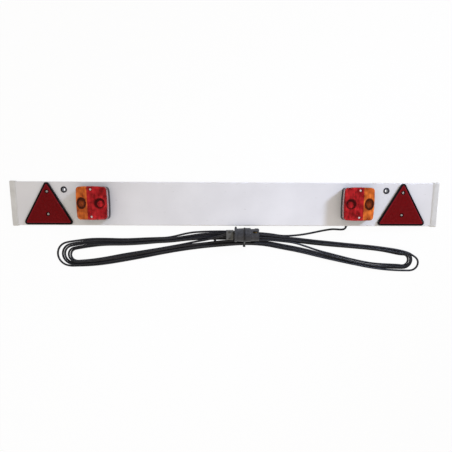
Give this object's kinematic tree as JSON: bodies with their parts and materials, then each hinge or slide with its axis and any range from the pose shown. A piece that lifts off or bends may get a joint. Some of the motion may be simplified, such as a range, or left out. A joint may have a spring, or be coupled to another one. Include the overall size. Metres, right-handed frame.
{
  "type": "trailer lighting board",
  "caption": "Long white trailer lighting board lying on its back, with combined rear lamps, red triangle reflectors, fixing eyelets and a hanked lead that ends in a round plug.",
  "frame": {"origin": "under the middle of the board, on the surface its end caps lie on", "axes": "+X along the board towards the end where the lead leaves, +Y towards its upper edge in use, +Z out of its front face"},
  "size_m": [1.37, 0.2922, 0.0605],
  "materials": {
    "board_white": "satin white extrusion",
    "cap_white": "moulded off-white",
    "eyelet_metal": "dull plated",
    "reflector_black": "moulded black",
    "reflector_red": "prismatic red",
    "screw_steel": "zinc plated",
    "seal_rubber": "matt black",
    "lamp_black": "moulded black",
    "liner_grey": "pale moulding",
    "socket_dark": "moulded dark",
    "contact_brass": "bright",
    "bulb_glass": "clear",
    "lens_red": "ribbed translucent red",
    "lens_amber": "ribbed translucent amber",
    "window_clear": "clear plastic",
    "cable_black": "black PVC sheath",
    "tie_black": "black nylon",
    "plug_grey": "moulded dark grey"
  },
  "bodies": {
    "root": {"board_panel": "board_white", "cable_hank": "cable_black", "end_cap_left": "cap_white", "end_cap_right": "cap_white", "eyelet_left": "eyelet_metal", "eyelet_right": "eyelet_metal", "eyelet_ring_left": "eyelet_metal", "eyelet_ring_right": "eyelet_metal", "feed_cable": "cable_black", "hank_tie": "tie_black", "lamp_amber_lens_left": "lens_amber", "lamp_amber_lens_right": "lens_amber", "lamp_base_left": "lamp_black", "lamp_base_right": "lamp_black", "lamp_base_screws_left": "screw_steel", "lamp_base_screws_right": "screw_steel", "lamp_contact_plates_left": "contact_brass", "lamp_contact_plates_right": "contact_brass", "lamp_gasket_left": "seal_rubber", "lamp_gasket_right": "seal_rubber", "lamp_indicator_bulb_left": "bulb_glass", "lamp_indicator_bulb_right": "bulb_glass", "lamp_indicator_socket_left": "socket_dark", "lamp_indicator_socket_right": "socket_dark", "lamp_lens_screws_left": "screw_steel", "lamp_lens_screws_right": "screw_steel", "lamp_liner_left": "liner_grey", "lamp_liner_right": "liner_grey", "lamp_plate_window_left": "window_clear", "lamp_plate_window_right": "window_clear", "lamp_red_lens_left": "lens_red", "lamp_red_lens_right": "lens_red", "lamp_seal_left": "seal_rubber", "lamp_seal_right": "seal_rubber", "lamp_stop_bulb_left": "bulb_glass", "lamp_stop_bulb_right": "bulb_glass", "lamp_stop_socket_left": "socket_dark", "lamp_stop_socket_right": "socket_dark", "lead_cable": "cable_black", "lead_grommet": "seal_rubber", "link_cable": "cable_black", "plug_clamp": "plug_grey", "plug_clamp_screws": "screw_steel", "plug_front_body": "plug_grey", "plug_insert": "plug_grey", "plug_pins": "contact_brass", "plug_rear_shell": "plug_grey", "plug_seal": "seal_rubber", "reflector_lens_left": "reflector_red", "reflector_lens_right": "reflector_red", "reflector_screws": "screw_steel", "reflector_tray_left": "reflector_black", "reflector_tray_right": "reflector_black", "tail_cable": "cable_black", "tail_tie": "tie_black"}
  },
  "joints": []
}
